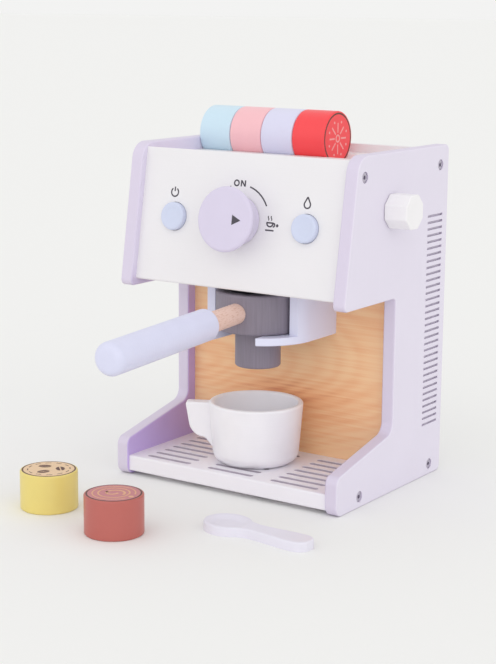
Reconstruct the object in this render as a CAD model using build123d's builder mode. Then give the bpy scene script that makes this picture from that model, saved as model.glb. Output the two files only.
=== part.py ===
from build123d import *
import os
from math import cos, radians, sin, tan

# Wooden toy capsule coffee maker with its loose pieces: filter holder, cup, spoon, six capsules.
# Millimetres. The origin is the middle of the machine's footprint on the floor. +Z is up, the
# machine faces -Y, and +X is on the right for someone who faces it.

# ---- carcass: two outline boards joined by cross boards -------------------------------------
width = 175.0             # over the outer faces of the side boards
depth = 138.0             # of the side boards at the floor
height = 225.0            # of the side boards
side_thickness = 9.0
board_thickness = 8.0     # fascia, head floor
edge_round = 1.2          # sanded edge of every painted board

head_depth = 133.3        # from the rear to the head's lower front corner
head_bottom = 130.0       # height of the head's lower edge
head_lean = 9.0           # degrees that the head's front edge leans back
column_depth = 68.2       # from the rear to the column's front edge
flare_height = 40.6       # where the foot's slope would meet the column
foot_height = 25.5        # where the slope would meet the foot's front
head_top_round = 12.0
head_nose_round = 4.0
inner_corner_round = 3.0
flare_round = 8.0
toe_round = 6.0
sole_round = 7.0
rear_round = 4.0

# ---- cross boards ---------------------------------------------------------------------------
deck_height = 13.7        # top of the drip deck
deck_lift = 3.0           # air under the deck
deck_setback = 2.0        # deck's front edge behind the toes
fascia_setback = 5.0      # fascia behind the front edges of the side boards
fascia_bottom = 134.8
fascia_top = 222.0
wall_setback = 8.2        # natural wood wall behind the column's front edge
wall_thickness = 6.0
head_floor_rise = 4.0     # head floor's underside above the head's lower edge
rear_setback = 2.0
rear_thickness = 6.0
rear_top_drop = 3.0       # rear board's top below the side boards'
tray_drop = 8.8           # tray's top below the side boards'
tray_thickness = 12.0

# ---- drip slots and side vents --------------------------------------------------------------
slot_rows = 7
slot_pitch = 9.5
slot_width = 4.0
first_slot = 7.5          # front row behind the deck's front edge
middle_slot_length = 36.0
side_slot_length = 36.0
side_slot_centre = 50.0
vent_count = 34
vent_pitch = 4.3
vent_length = 20.5
vent_width = 1.6
vent_depth = 1.5
vent_top = 179.0
vent_inset = 17.5         # middle of the vents in front of the rear edge

# ---- screws through the side boards ---------------------------------------------------------
screw_radius = 1.75
screw_length = 26.0
screw_head_radius = 3.5
screw_head_height = 2.4
screw_sink = 0.5          # head below the board's face
pilot_clearance = 0.1     # round the shank and the head
fascia_screw_height = 211.7
tray_screw_height = 212.0
tray_screw_inset = 12.0
deck_screw_height = 7.6
deck_front_screw = 28.0   # behind the toes
deck_rear_screw = 16.0    # in front of the rear edge

# ---- fits -----------------------------------------------------------------------------------
glue_gap = 0.05           # round a glued dowel
thread_gap = 0.02         # round a screw in its cross board
running_fit = 0.08        # round a turning or sliding dowel
slide_gap = 0.3           # between faces that slide or lift apart

# ---- dial, side knob and push buttons -------------------------------------------------------
dial_height = 179.2       # of the dial's axis on the fascia
dial_front_radius = 21.0
dial_base_radius = 16.0
dial_depth = 16.5
dial_round = 2.0
dial_dowel_radius = 5.0
dial_dowel_in_knob = 9.0
washer_radius = 10.0
washer_thickness = 5.0
side_knob_height = 188.0
side_knob_inset = 76.0    # in front of the rear edge
side_knob_radius = 11.8
side_knob_length = 16.0
side_knob_sides = 8
side_knob_round = 1.5
side_dowel_radius = 4.0
side_dowel_in_knob = 9.0
side_washer_radius = 8.0
button_radius = 9.2
button_proud = 3.6
button_spacing = 51.0     # each button beside the dial's axis
button_height = 178.0
button_flange = 2.6       # flange wider than the button, behind the fascia
button_flange_thickness = 3.0
button_round = 1.2

# ---- brew head ------------------------------------------------------------------------------
drum_radius = 38.0
drum_front_depth = 92.0   # from the rear to the middle of the drum's round front
drum_height = 34.5
drum_floor = 5.3
pocket_radius = 29.5
pocket_depth = 97.0       # from the rear to the pocket's middle
jamb_depth = 104.5        # from the rear to where the pocket's walls are cut off
spout_slot_clearance = 2.0

# ---- filter holder --------------------------------------------------------------------------
basket_radius = 28.0
basket_height = 26.0
basket_round = 1.5
recess_clearance = 1.0    # round a capsule in the basket
recess_depth = 20.0
spout_radius = 15.2
spout_length = 25.0
spout_round = 1.5
handle_turn = 2.6         # degrees that the handle points off straight ahead
handle_droop = 2.0        # degrees that the handle points down
handle_rise = 14.8        # where the handle's axis crosses the basket's, above its underside
dowel_radius = 6.75
dowel_in_basket = 6.0
dowel_showing = 35.0
dowel_in_handle = 22.0
handle_radius = 10.4
handle_length = 106.0
handle_end_round = 4.5
handle_neck_round = 2.0

# ---- cup ------------------------------------------------------------------------------------
cup_x = -2.0
cup_depth_place = 95.5    # from the machine's rear to the cup's middle
cup_height = 41.2
cup_rim_radius = 31.7
cup_base_radius = 28.5
cup_wall = 3.6
cup_floor = 7.0
cup_foot_round = 8.0
cup_rim_round = 1.2
ear_reach = 47.5          # ear's tip from the cup's axis
ear_thickness = 9.0
ear_drop = 1.2            # ear's top below the rim
ear_taper = 3.0           # that the ear's outer edge runs in
ear_corner = 24.5         # height where the outer edge starts to curve in
ear_belly = 35.0          # where that curve ends, from the cup's axis
ear_belly_height = 16.5
ear_foot = 9.0            # ear's lower end above the cup's base
ear_turn = 29.0           # degrees that the ear points forward of -X
ear_round = 1.5

# ---- capsules -------------------------------------------------------------------------------
capsule_radius = 18.4
capsule_length = 25.0
capsule_round = 1.0
capsule_spacing = 0.3     # between capsules in the tray
capsule_sink = 7.1        # capsule's underside below the tray's top
capsule_row_inset = 37.0  # row's axis in front of the rear edge
floor_capsule_places = {"capsule_yellow": (-75.1, -153.5), "capsule_brown": (-9.2, -169.7)}
tray_capsule_names = ("capsule_blue", "capsule_pink", "capsule_lavender", "capsule_red")

# ---- spoon ----------------------------------------------------------------------------------
spoon_x = 44.0            # middle of the bowl
spoon_y = -125.0
spoon_turn = -3.5
spoon_length = 78.5
spoon_thickness = 6.0
spoon_bowl_length = 32.0
spoon_bowl_width = 28.0
spoon_neck_place = 21.0   # neck beyond the middle of the bowl
spoon_neck_width = 13.0
spoon_handle_width = 17.5
spoon_rim = 2.5           # round the shallow hollow
spoon_scoop = 2.2         # depth of the hollow
spoon_scoop_slope = 4.0   # that the hollow's wall runs in
spoon_round = 1.5

# ---- values that follow ---------------------------------------------------------------------
front_y = -depth / 2
rear_y = depth / 2
inner_width = width - 2 * side_thickness
inner_x = inner_width / 2
lean = tan(radians(head_lean))
head_front_y = rear_y - head_depth
column_front_y = rear_y - column_depth
rear_board_y = rear_y - rear_setback - rear_thickness
tray_top = height - tray_drop
head_floor_z = head_bottom + head_floor_rise
wall_y = column_front_y + wall_setback


def fascia_y(z):
    """Place of the fascia's front face at height z."""
    return head_front_y + fascia_setback + (z - head_bottom) * lean


def fascia_back_y(z):
    """Place of the fascia's rear face at height z."""
    return fascia_y(z) + board_thickness / cos(radians(head_lean))


def fascia_plane(x, z):
    """Plane on the fascia's front face, looking out of the machine."""
    outward = (0, -cos(radians(head_lean)), sin(radians(head_lean)))
    return Plane(origin=(x, fascia_y(z), z), x_dir=(1, 0, 0), z_dir=outward)


# ---- side boards ----------------------------------------------------------------------------
side_outline = [
    (rear_y, 0),
    (rear_y, height),
    (head_front_y + (height - head_bottom) * lean, height),
    (head_front_y, head_bottom),
    (column_front_y, head_bottom),
    (column_front_y, flare_height),
    (front_y, foot_height),
    (front_y, 0),
]
side_rounds = [
    rear_round,
    rear_round,
    head_top_round,
    head_nose_round,
    inner_corner_round,
    flare_round,
    toe_round,
    sole_round,
]
fascia_screw_y = fascia_y(fascia_screw_height) + board_thickness / 2
tray_screw_y = rear_y - tray_screw_inset
screw_points = [
    (fascia_screw_y, fascia_screw_height),
    (tray_screw_y, tray_screw_height),
    (front_y + deck_front_screw, deck_screw_height),
    (rear_y - deck_rear_screw, deck_screw_height),
]
vent_middle = vent_top - (vent_count - 1) * vent_pitch / 2

with BuildPart() as left_side:
    with BuildSketch(Plane.YZ.offset(-inner_x)):
        with BuildLine():
            FilletPolyline(*side_outline, radius=side_rounds, close=True)
        make_face()
    extrude(amount=-side_thickness)
    board_faces = left_side.faces().sort_by(Axis.X)
    fillet(board_faces[0].edges() + board_faces[-1].edges(), radius=edge_round)
    with BuildSketch(Plane.YZ.offset(-width / 2)):
        with Locations((rear_y - vent_inset, vent_middle)):
            with GridLocations(vent_length, vent_pitch, 1, vent_count):
                Rectangle(vent_length, vent_width)
    extrude(amount=vent_depth, mode=Mode.SUBTRACT)
    with BuildSketch(Plane.YZ.offset(-width / 2)):
        with Locations(*screw_points):
            Circle(screw_radius + pilot_clearance)
    extrude(amount=side_thickness, mode=Mode.SUBTRACT)
    with BuildSketch(Plane.YZ.offset(-width / 2)):
        with Locations(*screw_points):
            Circle(screw_head_radius + pilot_clearance)
    extrude(amount=screw_sink + screw_head_height, mode=Mode.SUBTRACT)

side_knob_y = rear_y - side_knob_inset
with BuildPart() as right_side:
    mirror(left_side.part, about=Plane.YZ)
    with BuildSketch(Plane.YZ.offset(inner_x)):
        with Locations((side_knob_y, side_knob_height)):
            Circle(side_dowel_radius + running_fit)
    extrude(amount=side_thickness, mode=Mode.SUBTRACT)

with BuildPart() as left_screws:
    with BuildSketch(Plane.YZ.offset(-width / 2 + screw_sink)):
        with Locations(*screw_points):
            Circle(screw_radius)
    extrude(amount=screw_length)
    with BuildSketch(Plane.YZ.offset(-width / 2 + screw_sink)):
        with Locations(*screw_points):
            Circle(screw_head_radius)
    extrude(amount=screw_head_height)

with BuildPart() as right_screws:
    mirror(left_screws.part, about=Plane.YZ)

screw_bite = screw_length + screw_sink - side_thickness + pilot_clearance
with BuildPart() as pilot_holes:
    with BuildSketch(Plane.YZ.offset(-inner_x)):
        with Locations(*screw_points):
            Circle(screw_radius + thread_gap)
    extrude(amount=screw_bite)
    mirror(about=Plane.YZ)

# ---- cross boards ---------------------------------------------------------------------------
deck_front_y = front_y + deck_setback
deck_depth = rear_board_y - deck_front_y
slot_middle_y = deck_front_y + first_slot + (slot_rows - 1) * slot_pitch / 2
with BuildPart() as drip_deck:
    with BuildSketch(Plane.XY.offset(deck_lift)):
        with Locations((0, deck_front_y)):
            Rectangle(inner_width, deck_depth, align=(Align.CENTER, Align.MIN))
    extrude(amount=deck_height - deck_lift)
    front_edges = drip_deck.faces().sort_by(Axis.Y)[0].edges().filter_by(Axis.X)
    fillet(front_edges, radius=edge_round)
    with BuildSketch(Plane.XY.offset(deck_height)):
        with Locations((0, slot_middle_y)):
            with GridLocations(side_slot_centre, slot_pitch, 1, slot_rows):
                SlotOverall(middle_slot_length, slot_width)
            with GridLocations(2 * side_slot_centre, slot_pitch, 2, slot_rows):
                SlotOverall(side_slot_length, slot_width)
    extrude(amount=deck_lift - deck_height, mode=Mode.SUBTRACT)
    add(pilot_holes.part, mode=Mode.SUBTRACT)

with BuildPart() as rear_wall:
    with BuildSketch(Plane.XY.offset(deck_lift)):
        with Locations((0, rear_board_y)):
            Rectangle(inner_width, rear_thickness, align=(Align.CENTER, Align.MIN))
    extrude(amount=height - rear_top_drop - deck_lift)

with BuildPart() as column_wall:
    with BuildSketch(Plane.XY.offset(deck_height)):
        with Locations((0, wall_y)):
            Rectangle(inner_width, wall_thickness, align=(Align.CENTER, Align.MIN))
    extrude(amount=head_floor_z - deck_height)

fascia_length = (fascia_top - fascia_bottom) / cos(radians(head_lean))
with BuildPart() as fascia:
    with BuildSketch(fascia_plane(0, fascia_bottom)):
        Rectangle(inner_width, fascia_length, align=(Align.CENTER, Align.MIN))
    extrude(amount=-board_thickness)
    fillet(fascia.faces().sort_by(Axis.Y)[0].edges().filter_by(Axis.X), radius=edge_round)
    with BuildSketch(fascia_plane(0, dial_height)):
        Circle(dial_dowel_radius + running_fit)
    extrude(amount=-board_thickness, mode=Mode.SUBTRACT)
    with BuildSketch(fascia_plane(0, button_height)):
        with GridLocations(2 * button_spacing, 1, 2, 1):
            Circle(button_radius + slide_gap)
    extrude(amount=-board_thickness, mode=Mode.SUBTRACT)
    add(pilot_holes.part, mode=Mode.SUBTRACT)

head_floor_top = head_floor_z + board_thickness
head_floor_side = [
    (fascia_back_y(head_floor_z), head_floor_z),
    (rear_board_y, head_floor_z),
    (rear_board_y, head_floor_top),
    (fascia_back_y(head_floor_top), head_floor_top),
]
with BuildPart() as head_floor:
    with BuildSketch(Plane.YZ.offset(-inner_x)):
        with BuildLine():
            Polyline(*head_floor_side, close=True)
        make_face()
    extrude(amount=inner_width)

capsule_row_y = rear_y - capsule_row_inset
capsule_row_z = tray_top - capsule_sink + capsule_radius
tray_side = [
    (fascia_back_y(tray_top - tray_thickness), tray_top - tray_thickness),
    (rear_board_y, tray_top - tray_thickness),
    (rear_board_y, tray_top),
    (fascia_back_y(tray_top), tray_top),
]
with BuildPart() as capsule_tray:
    with BuildSketch(Plane.YZ.offset(-inner_x)):
        with BuildLine():
            Polyline(*tray_side, close=True)
        make_face()
        with Locations((capsule_row_y, capsule_row_z)):
            Circle(capsule_radius + slide_gap, mode=Mode.SUBTRACT)
    extrude(amount=inner_width)
    add(pilot_holes.part, mode=Mode.SUBTRACT)

# ---- brew head: a round-fronted block with a pocket that the filter holder slides into ------
drum_bottom = head_floor_z - drum_height
pocket_floor_z = drum_bottom + drum_floor
drum_front_y = rear_y - drum_front_depth
pocket_y = rear_y - pocket_depth
jamb_y = rear_y - jamb_depth
reach_out = depth
with BuildPart() as brew_drum:
    with BuildSketch(Plane.XY.offset(drum_bottom)):
        with Locations((0, drum_front_y)):
            Circle(drum_radius)
            Rectangle(2 * drum_radius, wall_y - drum_front_y, align=(Align.CENTER, Align.MIN))
        with Locations((0, wall_y)):
            Rectangle(
                3 * drum_radius, drum_radius, align=(Align.CENTER, Align.MIN), mode=Mode.SUBTRACT
            )
    extrude(amount=drum_height)
    fillet(brew_drum.edges().group_by(Axis.Z)[0].filter_by(GeomType.CIRCLE), radius=edge_round)
    with BuildSketch(Plane.XY.offset(pocket_floor_z)):
        with Locations((0, pocket_y)):
            Circle(pocket_radius)
            Rectangle(2 * pocket_radius, reach_out, align=(Align.CENTER, Align.MAX))
        with Locations((0, jamb_y)):
            Rectangle(2 * reach_out, reach_out, align=(Align.CENTER, Align.MAX))
    extrude(amount=drum_height - drum_floor, mode=Mode.SUBTRACT)
    with BuildSketch(Plane.XY.offset(drum_bottom)):
        with Locations((0, pocket_y)):
            Circle(spout_radius + spout_slot_clearance)
            Rectangle(
                2 * (spout_radius + spout_slot_clearance),
                reach_out,
                align=(Align.CENTER, Align.MAX),
            )
    extrude(amount=drum_floor, mode=Mode.SUBTRACT)

# ---- dial -----------------------------------------------------------------------------------
dial_plane = fascia_plane(0, dial_height)
dial_base = dial_plane.offset(slide_gap)
with BuildPart() as dial_knob:
    with BuildSketch(Plane(dial_base.origin, x_dir=dial_plane.x_dir, z_dir=dial_plane.y_dir)):
        with BuildLine():
            Polyline(
                (dial_base_radius, 0),
                (0, 0),
                (0, -dial_depth),
                (dial_front_radius - dial_round, -dial_depth),
            )
            flare_end = (dial_front_radius, -dial_depth + dial_round)
            RadiusArc((dial_front_radius - dial_round, -dial_depth), flare_end, -dial_round)
            ThreePointArc(
                flare_end,
                ((dial_front_radius + dial_base_radius) / 2 - 0.8, -dial_depth / 2),
                (dial_base_radius, 0),
            )
        make_face()
    revolve(axis=Axis(dial_base.origin, dial_plane.z_dir))
    with BuildSketch(dial_base):
        Circle(dial_dowel_radius + glue_gap)
    extrude(amount=dial_dowel_in_knob, mode=Mode.SUBTRACT)

dial_dowel_length = dial_dowel_in_knob + 2 * slide_gap + board_thickness + washer_thickness
with BuildPart() as dial_dowel:
    with BuildSketch(dial_base.offset(dial_dowel_in_knob)):
        Circle(dial_dowel_radius)
    extrude(amount=-dial_dowel_length)

dial_washer_plane = dial_plane.offset(-board_thickness - slide_gap)
with BuildPart() as dial_washer:
    with BuildSketch(dial_washer_plane):
        Circle(washer_radius)
        Circle(dial_dowel_radius + glue_gap, mode=Mode.SUBTRACT)
    extrude(amount=-washer_thickness)

# ---- knob on the right side -----------------------------------------------------------------
side_knob_plane = Plane(
    origin=(width / 2 + slide_gap, side_knob_y, side_knob_height), x_dir=(0, 1, 0), z_dir=(1, 0, 0)
)
with BuildPart() as side_knob:
    with BuildSketch(side_knob_plane):
        RegularPolygon(side_knob_radius, side_knob_sides, rotation=180 / side_knob_sides)
    extrude(amount=side_knob_length)
    fillet(side_knob.edges().filter_by(Axis.X), radius=side_knob_round)
    fillet(side_knob.faces().sort_by(Axis.X)[-1].edges(), radius=edge_round)
    with BuildSketch(side_knob_plane):
        Circle(side_dowel_radius + glue_gap)
    extrude(amount=side_dowel_in_knob, mode=Mode.SUBTRACT)

side_dowel_length = side_dowel_in_knob + 2 * slide_gap + side_thickness + washer_thickness
with BuildPart() as side_dowel:
    with BuildSketch(side_knob_plane.offset(side_dowel_in_knob)):
        Circle(side_dowel_radius)
    extrude(amount=-side_dowel_length)

with BuildPart() as side_washer:
    with BuildSketch(side_knob_plane.offset(-2 * slide_gap - side_thickness)):
        Circle(side_washer_radius)
        Circle(side_dowel_radius + glue_gap, mode=Mode.SUBTRACT)
    extrude(amount=-washer_thickness)


# ---- push buttons: plungers held behind the fascia by their flange --------------------------
def button(x):
    """One plunger, its flange against the fascia's rear face."""
    face = fascia_plane(x, button_height)
    with BuildPart() as plunger:
        with BuildSketch(face.offset(button_proud)):
            Circle(button_radius)
        extrude(amount=-button_proud - board_thickness)
        fillet(plunger.faces().sort_by(Axis.Y)[0].edges(), radius=button_round)
        with BuildSketch(face.offset(-board_thickness - slide_gap)):
            Circle(button_radius + button_flange)
        extrude(amount=-button_flange_thickness)
        with BuildSketch(face.offset(-board_thickness)):
            Circle(button_radius)
        extrude(amount=-slide_gap - button_flange_thickness)
    return plunger.part


left_button = button(-button_spacing)
right_button = button(button_spacing)

# ---- filter holder --------------------------------------------------------------------------
basket_bottom = pocket_floor_z + slide_gap
handle_z = basket_bottom + handle_rise
handle_side = Vector(cos(radians(handle_turn)), sin(radians(handle_turn)), 0)
ahead = Vector(sin(radians(handle_turn)), -cos(radians(handle_turn)), -tan(radians(handle_droop)))
handle_plane = Plane(origin=(0, pocket_y, handle_z), x_dir=handle_side, z_dir=ahead)
dowel_start = basket_radius - dowel_in_basket
handle_start = basket_radius + dowel_showing
with BuildPart() as filter_basket:
    with BuildSketch(Plane.XY.offset(basket_bottom)):
        with Locations((0, pocket_y)):
            Circle(basket_radius)
    extrude(amount=basket_height)
    fillet(filter_basket.edges().filter_by(GeomType.CIRCLE), radius=basket_round)
    with BuildSketch(Plane.XY.offset(basket_bottom + basket_height)):
        with Locations((0, pocket_y)):
            Circle(capsule_radius + recess_clearance)
    extrude(amount=-recess_depth, mode=Mode.SUBTRACT)
    with BuildSketch(handle_plane.offset(dowel_start)):
        Circle(dowel_radius + glue_gap)
    extrude(amount=basket_radius, mode=Mode.SUBTRACT)

with BuildPart() as filter_spout:
    with BuildSketch(Plane.XY.offset(basket_bottom)):
        with Locations((0, pocket_y)):
            Circle(spout_radius)
    extrude(amount=-spout_length)
    fillet(filter_spout.faces().sort_by(Axis.Z)[0].edges(), radius=spout_round)

with BuildPart() as handle_dowel:
    with BuildSketch(handle_plane.offset(dowel_start)):
        Circle(dowel_radius)
    extrude(amount=dowel_in_basket + dowel_showing + dowel_in_handle)

with BuildPart() as holder_handle:
    with BuildSketch(handle_plane.offset(handle_start)):
        Circle(handle_radius)
    extrude(amount=handle_length)
    handle_ends = holder_handle.faces().filter_by(GeomType.PLANE).sort_by(Axis.Y)
    fillet(handle_ends[0].edges(), radius=handle_end_round)
    fillet(handle_ends[-1].edges(), radius=handle_neck_round)
    with BuildSketch(handle_plane.offset(handle_start)):
        Circle(dowel_radius + glue_gap)
    extrude(amount=dowel_in_handle, mode=Mode.SUBTRACT)

# ---- cup ------------------------------------------------------------------------------------
cup_y = rear_y - cup_depth_place
cup_plane = Plane(origin=(cup_x, cup_y, deck_height), x_dir=(1, 0, 0), z_dir=(0, -1, 0))
cup_axis = Axis((cup_x, cup_y, deck_height), (0, 0, 1))
cup_flare = (cup_rim_radius - cup_base_radius) / cup_height
bowl_base_radius = cup_base_radius + cup_floor * cup_flare - cup_wall
cup_section = [
    (0, 0),
    (cup_base_radius, 0),
    (cup_rim_radius, cup_height),
    (cup_rim_radius - cup_wall, cup_height),
    (bowl_base_radius, cup_floor),
    (0, cup_floor),
]
with BuildPart() as cup:
    with BuildSketch(cup_plane):
        with BuildLine():
            Polyline(*cup_section, close=True)
        make_face()
    revolve(axis=cup_axis)
    fillet(cup.edges().group_by(Axis.Z)[0], radius=cup_foot_round)
    fillet(cup.edges().group_by(Axis.Z)[-1], radius=cup_rim_round)

ear_direction = (-cos(radians(ear_turn)), -sin(radians(ear_turn)), 0)
ear_side = (-sin(radians(ear_turn)), cos(radians(ear_turn)), 0)
ear_plane = Plane(origin=(cup_x, cup_y, deck_height), x_dir=ear_direction, z_dir=ear_side)
ear_top = cup_height - ear_drop
ear_inner = cup_base_radius - cup_wall
with BuildPart() as cup_ear:
    with BuildSketch(ear_plane):
        with BuildLine():
            Polyline((ear_inner, ear_foot), (ear_inner, ear_top), (ear_reach, ear_top))
            outer_edge = Line((ear_reach, ear_top), (ear_reach - ear_taper, ear_corner))
            TangentArc(outer_edge @ 1, (ear_belly, ear_belly_height), tangent=outer_edge % 1)
            Polyline(
                (ear_belly, ear_belly_height), (cup_base_radius, ear_foot), (ear_inner, ear_foot)
            )
        make_face()
    extrude(amount=ear_thickness / 2, both=True)
    fillet(cup_ear.edges().filter_by(ear_plane).group_by(Axis.Z)[-1], radius=ear_round)
    with BuildSketch(cup_plane):
        with BuildLine():
            Polyline(*cup_section[0:3], (0, cup_height), close=True)
        make_face()
    revolve(axis=cup_axis, mode=Mode.SUBTRACT)


# ---- capsules -------------------------------------------------------------------------------
def capsule(plane):
    """One solid turned capsule standing on a plane."""
    with BuildPart() as barrel:
        with BuildSketch(plane):
            Circle(capsule_radius)
        extrude(amount=capsule_length)
        fillet(barrel.edges().filter_by(GeomType.CIRCLE), radius=capsule_round)
    return barrel.part


capsules = {}
for place, capsule_name in enumerate(tray_capsule_names):
    capsule_x = -inner_x + capsule_spacing + place * (capsule_length + capsule_spacing)
    row_start = Plane(origin=(capsule_x, capsule_row_y, capsule_row_z), z_dir=(1, 0, 0))
    capsules[capsule_name] = capsule(row_start)
for capsule_name, (capsule_x, capsule_y) in floor_capsule_places.items():
    capsules[capsule_name] = capsule(Plane(origin=(capsule_x, capsule_y, 0)))

# ---- spoon ----------------------------------------------------------------------------------
spoon_plane = Plane(
    origin=(spoon_x, spoon_y, 0),
    x_dir=(cos(radians(spoon_turn)), sin(radians(spoon_turn)), 0),
    z_dir=(0, 0, 1),
)
bowl_end = spoon_bowl_length / 2
bowl_side = spoon_bowl_width / 2
grip_end = spoon_length - bowl_end
grip_round = spoon_handle_width / 2
with BuildPart() as spoon:
    with BuildSketch(spoon_plane):
        Ellipse(bowl_end, bowl_side)
        with BuildLine():
            upper_edge = Spline(
                (0.6 * bowl_end, 0.8 * bowl_side),
                (spoon_neck_place, spoon_neck_width / 2),
                (grip_end - grip_round, grip_round),
                tangents=((0.8 * bowl_end, -0.6 * bowl_side), (1, 0)),
            )
            mirror(upper_edge, about=Plane.XZ)
            ThreePointArc(upper_edge @ 1, (grip_end, 0), (grip_end - grip_round, -grip_round))
            Line(upper_edge @ 0, (0.6 * bowl_end, -0.8 * bowl_side))
        make_face()
    extrude(amount=spoon_thickness)
    fillet(spoon.faces().sort_by(Axis.Z)[-1].edges(), radius=spoon_round)
    with BuildSketch(spoon_plane.offset(spoon_thickness)):
        Ellipse(bowl_end - spoon_rim, bowl_side - spoon_rim)
    with BuildSketch(spoon_plane.offset(spoon_thickness - spoon_scoop)):
        Ellipse(bowl_end - spoon_rim - spoon_scoop_slope, bowl_side - spoon_rim - spoon_scoop_slope)
    loft(mode=Mode.SUBTRACT)

# ---- files: one per piece -------------------------------------------------------------------
os.makedirs("parts", exist_ok=True)
left_side.part.label = "left_side_board"
export_step(left_side.part, "parts/left_side_board.step")
right_side.part.label = "right_side_board"
export_step(right_side.part, "parts/right_side_board.step")
left_screws.part.label = "left_side_screws"
export_step(left_screws.part, "parts/left_side_screws.step")
right_screws.part.label = "right_side_screws"
export_step(right_screws.part, "parts/right_side_screws.step")
drip_deck.part.label = "drip_deck"
export_step(drip_deck.part, "parts/drip_deck.step")
rear_wall.part.label = "rear_board"
export_step(rear_wall.part, "parts/rear_board.step")
column_wall.part.label = "column_wall"
export_step(column_wall.part, "parts/column_wall.step")
fascia.part.label = "front_fascia"
export_step(fascia.part, "parts/front_fascia.step")
head_floor.part.label = "head_floor"
export_step(head_floor.part, "parts/head_floor.step")
capsule_tray.part.label = "capsule_tray"
export_step(capsule_tray.part, "parts/capsule_tray.step")
brew_drum.part.label = "brew_drum"
export_step(brew_drum.part, "parts/brew_drum.step")
dial_knob.part.label = "dial_knob"
export_step(dial_knob.part, "parts/dial_knob.step")
dial_dowel.part.label = "dial_dowel"
export_step(dial_dowel.part, "parts/dial_dowel.step")
dial_washer.part.label = "dial_washer"
export_step(dial_washer.part, "parts/dial_washer.step")
side_knob.part.label = "side_knob"
export_step(side_knob.part, "parts/side_knob.step")
side_dowel.part.label = "side_knob_dowel"
export_step(side_dowel.part, "parts/side_knob_dowel.step")
side_washer.part.label = "side_knob_washer"
export_step(side_washer.part, "parts/side_knob_washer.step")
left_button.label = "left_button"
export_step(left_button, "parts/left_button.step")
right_button.label = "right_button"
export_step(right_button, "parts/right_button.step")
filter_basket.part.label = "filter_basket"
export_step(filter_basket.part, "parts/filter_basket.step")
filter_spout.part.label = "filter_spout"
export_step(filter_spout.part, "parts/filter_spout.step")
handle_dowel.part.label = "handle_dowel"
export_step(handle_dowel.part, "parts/handle_dowel.step")
holder_handle.part.label = "holder_handle"
export_step(holder_handle.part, "parts/holder_handle.step")
cup.part.label = "cup"
export_step(cup.part, "parts/cup.step")
cup_ear.part.label = "cup_ear"
export_step(cup_ear.part, "parts/cup_ear.step")
spoon.part.label = "spoon"
export_step(spoon.part, "parts/spoon.step")
for capsule_name, barrel in capsules.items():
    barrel.label = capsule_name
    export_step(barrel, f"parts/{capsule_name}.step")
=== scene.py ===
"""Looks for a wooden toy capsule coffee maker with its filter holder, cup, spoon and capsules.

It is laid out as an add-on: sizes and colours are properties, one operator finishes each group
of pieces, and a sidebar panel lists the operators. Run as a script, it dresses the whole toy.
"""

from math import cos, pi, radians, sin, tan

import bmesh
import bpy
from mathutils import Matrix, Vector


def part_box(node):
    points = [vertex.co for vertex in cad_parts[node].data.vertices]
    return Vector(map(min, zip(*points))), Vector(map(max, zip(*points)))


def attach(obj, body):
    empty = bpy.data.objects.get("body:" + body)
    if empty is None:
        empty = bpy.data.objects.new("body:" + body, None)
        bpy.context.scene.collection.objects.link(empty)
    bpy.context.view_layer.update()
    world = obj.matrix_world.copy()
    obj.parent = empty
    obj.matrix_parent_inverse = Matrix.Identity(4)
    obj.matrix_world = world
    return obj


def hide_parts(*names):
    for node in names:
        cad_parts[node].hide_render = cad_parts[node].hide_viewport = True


bl_info = {
    "name": "Toy Coffee Maker",
    "version": (1, 0, 0),
    "blender": (4, 5, 0),
    "location": "3D View > Sidebar > Coffee Maker",
    "description": "Dresses a wooden toy coffee maker and its loose pieces",
    "category": "Add Mesh",
}

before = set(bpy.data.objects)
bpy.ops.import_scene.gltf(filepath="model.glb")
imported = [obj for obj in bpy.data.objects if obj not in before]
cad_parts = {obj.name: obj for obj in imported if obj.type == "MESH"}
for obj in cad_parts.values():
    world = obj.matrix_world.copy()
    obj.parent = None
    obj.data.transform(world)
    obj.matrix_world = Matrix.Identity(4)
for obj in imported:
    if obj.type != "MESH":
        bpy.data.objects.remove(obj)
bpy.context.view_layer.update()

MM = 0.001

# ---- places and sizes that the model gives, in millimetres and radians ----------------------
FASCIA_LEAN = radians(9)
OUTWARD = Vector((0, -cos(FASCIA_LEAN), sin(FASCIA_LEAN)))  # square to the fascia
HEAD_BOTTOM = 130.0
FASCIA_Y = -59.3  # fascia's front face at the head's lower edge
DIAL_HEIGHT = 179.2
DIAL_RADIUS = 21.0
DIAL_DEPTH = 16.5
SLIDE_GAP = 0.3  # between the dial and the fascia
BUTTON_HEIGHT = 178.0
BUTTON_SPACING = 51.0  # from the dial's axis
BUTTON_RADIUS = 9.2
BUTTON_PROUD = 3.6
BOARD_FACE = 87.5  # outer face of a side board
# Boxes where shade is painted: round the vents' floors on a side board, and round the drip deck's
# slots.
VENT_SHADE_BOX = ((85.5, 41, 35), (87.15, 62, 181))  # corners of the box round a board's vents
SLOT_SHADE_BOX = ((0, -64, 3.3), (77, 8, 13.4))  # and round the deck's slots
SCREW_SPOTS = ((-42.36, 211.7), (57.0, 212.0), (-41.0, 7.6), (53.0, 7.6))  # Y and Z
SCREW_SINK = 0.5
SCREW_HEAD_RADIUS = 3.5
SCREW_HEAD_HEIGHT = 2.4
SCREW_LENGTH = 26.0
SIDE_KNOB_RADIUS = 11.8
HANDLE_TURN = radians(2.6)
HANDLE_DROOP = radians(2)
HANDLE_RISE = 14.8  # where the handle's axis crosses the basket's, above its underside
HANDLE_START = 63.0  # from there to the handle
HANDLE_RADIUS = 10.4
HANDLE_LENGTH = 106.0
CUP_HEIGHT = 41.2
CUP_FLOOR = 7.0
EAR_TURN = radians(29)
EAR_THICKNESS = 9.0
SPOON_PLACE = (44.0, -125.0)
SPOON_TURN = radians(-3.5)
SPOON_THICKNESS = 6.0
CAPSULE_RADIUS = 18.4
CAPSULE_LENGTH = 25.0
TRAY_CAPSULES = ("blue", "pink", "lavender", "red")
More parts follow.
